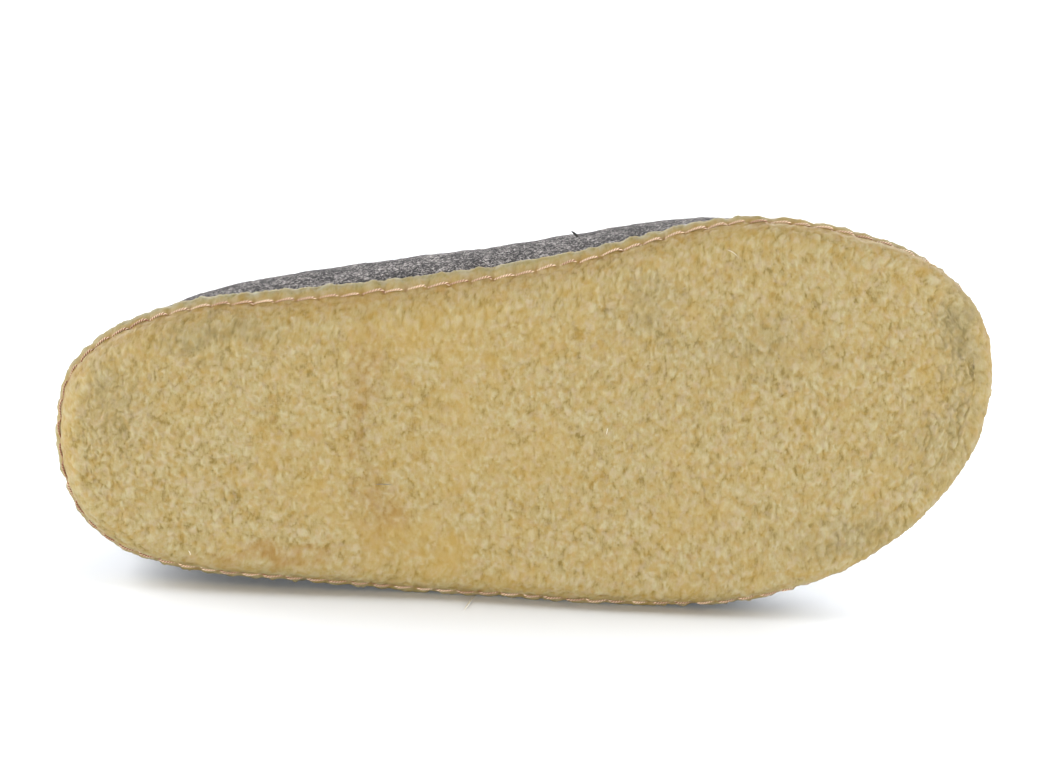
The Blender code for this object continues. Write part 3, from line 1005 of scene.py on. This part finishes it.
class SLIPPER_OT_felt_upper(bpy.types.Operator):
    """Makes the felt upper from its solid: rounder, and uneven as matted wool is"""

    bl_idname = "slipper.felt_upper"
    bl_label = "Felt upper"

    def execute(self, context):
        bm = bmesh.new()
        bm.from_mesh(frame["nodes"]["upper"].data)
        bmesh.ops.remove_doubles(bm, verts=bm.verts, dist=1e-6)
        bmesh.ops.join_triangles(
            bm, faces=bm.faces, angle_face_threshold=0.6, angle_shape_threshold=1.2
        )
        plain = mesh_from(bm, "felt_upper_plain")
        rough = add_object("felt_upper_plain", plain)
        rounding = rough.modifiers.new("rounding", "SUBSURF")
        rounding.levels = rounding.render_levels = 2
        context.view_layer.update()
        data = bpy.data.meshes.new_from_object(rough.evaluated_get(context.evaluated_depsgraph_get()))
        bpy.data.objects.remove(rough)
        data.name = "felt_upper"
        data.materials.clear()
        swell_felt(data)
        uneven_felt(data, amount_mm=0.5)
        look = context.scene.slipper_felt
        add_piece("felt_upper", data, felt_material("boiled_wool_felt", look), "upper")
        return {"FINISHED"}


class SLIPPER_OT_felt_insole(bpy.types.Operator):
    """Makes the felt insole: a pad with a rounded edge, worn a little hollow at heel and ball"""

    bl_idname = "slipper.felt_insole"
    bl_label = "Felt insole"

    columns_per_side = 190
    points_across = 44

    # The pad's edge from below: how far it is tucked in (mm), and the share of its thickness
    edge = ((1.6, 0.0), (0.5, 0.12), (0.0, 0.4), (0.15, 0.75), (0.9, 0.95), (2.4, 1.0))

    # Worn hollows under heel and ball: place along, half length, half width and depth (mm)
    hollows = ((48.0, 34.0, 24.0, 0.9), (195.0, 40.0, 40.0, 0.7))

    def execute(self, context):
        rim = Rim(self.columns_per_side)
        sheet = SheetMesh()
        inset = RIM_THICKNESS + SEAT_GAP + FELT_THICKNESS + INSOLE_SIDE_GAP
        rows = []
        for tuck, share in self.edge:
            top = rim.row(inset + tuck, rim.plate + SEAT_GAP + INSOLE_THICKNESS * share)
            rows.append(sheet.add(top))
        sheet.join(rows)
        inner = rung_points(top, self.points_across)
        x, y = inner[..., 0], inner[..., 1]
        inner[..., 2] -= sum(
            depth * (1.0 - smoothstep(np.hypot((x - middle) / half_length, y / half_width)))
            for middle, half_length, half_width, depth in self.hollows
        )
        rungs = sheet.add(inner).reshape(inner.shape[:2])
        sheet.close_across(rows[0], None, True)
        sheet.close_across(rows[-1], rungs, False)
        data = sheet.mesh("felt_insole")
        data.transform(last_frame())
        uneven_felt(data, amount_mm=0.2)
        look = context.scene.slipper_felt
        add_piece("felt_insole", data, felt_material("felt_footbed", look), "insole")
        return {"FINISHED"}


class SLIPPER_OT_felt_fuzz(bpy.types.Operator):
    """Raises loose wool fibres on the outside of the felt"""

    bl_idname = "slipper.felt_fuzz"
    bl_label = "Felt fuzz"

    # Share of fibres with a bend, the shortest fibre as a share of the longest, how much a fibre
    # curls, how much it thins at each point, and how high the slipper's inside runs (mm)
    curved_share = 0.3
    shortest = 0.35
    curl_share = 0.6
    thinning = 0.35
    inside_height = 30.0

    def execute(self, context):
        look = context.scene.slipper_felt
        felt = bpy.data.objects.get("felt_upper")
        if felt is None:
            raise RuntimeError("the felt upper comes before its fuzz")
        data = felt.data
        data.calc_loop_triangles()
        triangles = np.array([triangle.vertices for triangle in data.loop_triangles])
        points, normals = mesh_points(data), mesh_normals(data)
        corners = points[triangles]
        across = np.cross(corners[:, 1] - corners[:, 0], corners[:, 2] - corners[:, 0])
        areas = np.linalg.norm(across, axis=1) * self.faces_out(corners.mean(axis=1), across)
        chance = np.random.default_rng(FUZZ_SEED)
        picks = chance.choice(len(triangles), size=look.fuzz_count, p=areas / areas.sum())
        weights = chance.dirichlet((1.0, 1.0, 1.0), size=look.fuzz_count)
        roots = (corners[picks] * weights[:, :, None]).sum(axis=1)
        ups = normals[triangles[picks]].mean(axis=1)
        bm = bmesh.new()
        for root, up in zip(roots, ups):
            self.grow(bm, root, up, look, chance)
        add_piece("felt_fuzz", mesh_from(bm, "felt_fuzz"), fibre_material(look))
        return {"FINISHED"}

    def faces_out(self, places, normals):
        """1 for the faces that look away from the slipper's inside, along the last's middle."""
        places, normals = in_last(places, normals)
        from_middle = places - (0.0, 0.0, self.inside_height * MM)
        from_middle[:, 0] = 0.0
        return (normals * from_middle).sum(axis=1) > 0.0

    def grow(self, bm, root, up, look, chance):
        """One curved fibre with a three-sided section that thins to its end."""
        length = look.fuzz_length * (self.shortest + (1.0 - self.shortest) * chance.random() ** 2)
        lean = np.cross(up, chance.normal(size=3))
        lean /= np.linalg.norm(lean)
        curl = np.cross(up, lean) * chance.normal(0.0, 0.5) - up * chance.uniform(0.1, 0.9)
        way = up * chance.uniform(0.35, 0.9) + lean
        way /= np.linalg.norm(way)
        radius = look.fuzz_thickness / 2.0
        count = 3 if chance.random() < self.curved_share else 2
        shares = np.linspace(0.0, 1.0, count)[:, None]
        bend = curl * (length * self.curl_share * shares**2)
        path = root - up * radius + way * (length * shares) + bend
        path[:, 2] = np.maximum(path[:, 2], radius)
        hint = np.cross(way, curl)
        add_tube(bm, path, hint, lambda index, angle: radius * (1.0 - self.thinning * index), 3)


def fibre_material(look):
    """Loose wool fibres: matt, from middle grey to pale."""
    values = {"Roughness": 0.9, "Specular IOR Level": 0.2}
    material, tree, shader = new_material("loose_wool_fibre", values)
    place = add_node(tree, "TexCoord").outputs["Object"]
    clumps = {"Scale": per_metre(2.5), "Detail": 1.0}
    tone = add_node(tree, "TexNoise", clumps, {"Vector": place}).outputs["Fac"]
    share = add_node(tree, "MapRange", {"From Min": 0.4, "From Max": 0.6}, {0: tone}).outputs[0]
    colour = mix_colours(tree, look.middle_colour, look.light_colour, share)
    tree.links.new(colour, shader.inputs["Base Color"])
    return material


def stray_material(look):
    """Stray wool, hair and thread ends: matt, from nearly black to cream."""
    colours = look.dark_colour, look.stray_colour
    return two_tone_material("stray_fibre", {"Roughness": 0.8}, "pale", *colours)


class SLIPPER_OT_stray_fibres(bpy.types.Operator):
    """Lays the few stray fibres that the photograph shows"""

    bl_idname = "slipper.stray_fibres"
    bl_label = "Stray fibres"

    path_points = 9
    spokes = 6

    def execute(self, context):
        look = context.scene.slipper_felt
        bm = bmesh.new()
        pale = bm.verts.layers.float.new("pale")
        for stray in STRAYS:
            start, bend, end = (np.array(point) for point in (stray.start, stray.bend, stray.end))
            shares = np.linspace(0.0, 1.0, self.path_points)[:, None]
            path = start * (1.0 - shares) ** 2 + bend * 2.0 * shares * (1.0 - shares) + end * shares**2
            hint = np.cross(end - start, (0.31, 0.52, 0.79))

            def reach(index, angle):
                along = index / (self.path_points - 1)
                return stray.thickness / 2.0 * (1.0 - 0.8 * abs(2.0 * along - 1.0) ** 3)

            for ring in add_tube(bm, path, hint, reach, self.spokes):
                for vert in ring:
                    vert[pale] = stray.pale
        data = mesh_from(bm, "stray_fibres")
        data.transform(last_frame() @ Matrix.Scale(MM, 4))
        add_piece("stray_fibres", data, stray_material(look))
        return {"FINISHED"}


class SLIPPER_OT_stage(bpy.types.Operator):
    """Sets the pale floor, the soft lights and the camera"""

    bl_idname = "slipper.stage"
    bl_label = "Stage"

    def execute(self, context):
        stage = context.scene.slipper_stage
        self.lay_floor(stage)
        for box in SOFTBOXES:
            self.light(box, getattr(stage, box.setting))
        world = context.scene.world or bpy.data.worlds.new("studio")
        context.scene.world = world
        world.use_nodes = True
        sky = world.node_tree.nodes["Background"]
        sky.inputs["Color"].default_value = (1.0, 1.0, 1.0, 1.0)
        sky.inputs["Strength"].default_value = stage.ambient
        context.scene.view_settings.view_transform = "Standard"
        context.scene.view_settings.look = "None"
        self.aim_camera(context, stage)
        return {"FINISHED"}

    @staticmethod
    def lay_floor(stage):
        bm = bmesh.new()
        bmesh.ops.create_grid(bm, x_segments=1, y_segments=1, size=FLOOR_HALF_SIZE)
        data = mesh_from(bm, "floor")
        floor = add_object("floor", data)
        # White studio paper: pale and matt, with no shine of its own
        values = {
            "Base Color": with_alpha(stage.floor_colour),
            "Roughness": 0.9,
            "Specular IOR Level": 0.0,
        }
        data.materials.append(new_material("white_studio_paper", values)[0])

    @staticmethod
    def light(box, power):
        lamp = bpy.data.lights.new(box.setting, "AREA")
        lamp.shape = "RECTANGLE"
        lamp.size, lamp.size_y = box.size
        lamp.energy = power
        made = add_object(box.setting, lamp)
        made.location = box.place
        facing = Vector(box.target) - Vector(box.place)
        made.rotation_euler = facing.to_track_quat("-Z", "Y").to_euler()

    @staticmethod
    def aim_camera(context, stage):
        data = bpy.data.cameras.new("camera")
        camera = add_object("camera", data)
        data.sensor_width = FILM_WIDTH
        data.lens = stage.focal_pixels / PHOTO_WIDTH * data.sensor_width
        back = Vector((0.0, -math.cos(stage.camera_elevation), math.sin(stage.camera_elevation)))
        roll = Matrix.Rotation(stage.camera_roll, 3, "Z")
        turn = (-back).to_track_quat("-Z", "Y").to_matrix() @ roll
        target = CAMERA_TARGET + turn @ CAMERA_SHIFT
        camera.matrix_world = Matrix.Translation(target + back * stage.camera_distance) @ turn.to_4x4()
        context.scene.camera = camera


class SLIPPER_PT_pieces(bpy.types.Panel):
    """Lists the slipper's pieces in the sidebar"""

    bl_idname = "SLIPPER_PT_pieces"
    bl_label = "Felt slipper"
    bl_space_type = "VIEW_3D"
    bl_region_type = "UI"
    bl_category = "Slipper"

    def draw(self, context):
        for piece in PIECES:
            self.layout.operator(piece.bl_idname)


SETTINGS = {
    "slipper_crepe": CrepeSettings,
    "slipper_thread": ThreadSettings,
    "slipper_felt": FeltSettings,
    "slipper_stage": StageSettings,
}
PIECES = (
    SLIPPER_OT_stage,
    SLIPPER_OT_crepe_sole,
    SLIPPER_OT_stitches,
    SLIPPER_OT_felt_upper,
    SLIPPER_OT_felt_insole,
    SLIPPER_OT_felt_fuzz,
    SLIPPER_OT_stray_fibres,
)


def register():
    for kind in (*SETTINGS.values(), *PIECES, SLIPPER_PT_pieces):
        bpy.utils.register_class(kind)
    for name, kind in SETTINGS.items():
        setattr(bpy.types.Scene, name, bpy.props.PointerProperty(type=kind))


def unregister():
    for name in SETTINGS:
        delattr(bpy.types.Scene, name)
    for kind in (SLIPPER_PT_pieces, *reversed(PIECES), *reversed(SETTINGS.values())):
        bpy.utils.unregister_class(kind)


def main():
    register()
    for piece in PIECES:
        group, name = piece.bl_idname.split(".")
        getattr(getattr(bpy.ops, group), name)()


if __name__ == "__main__":
    main()
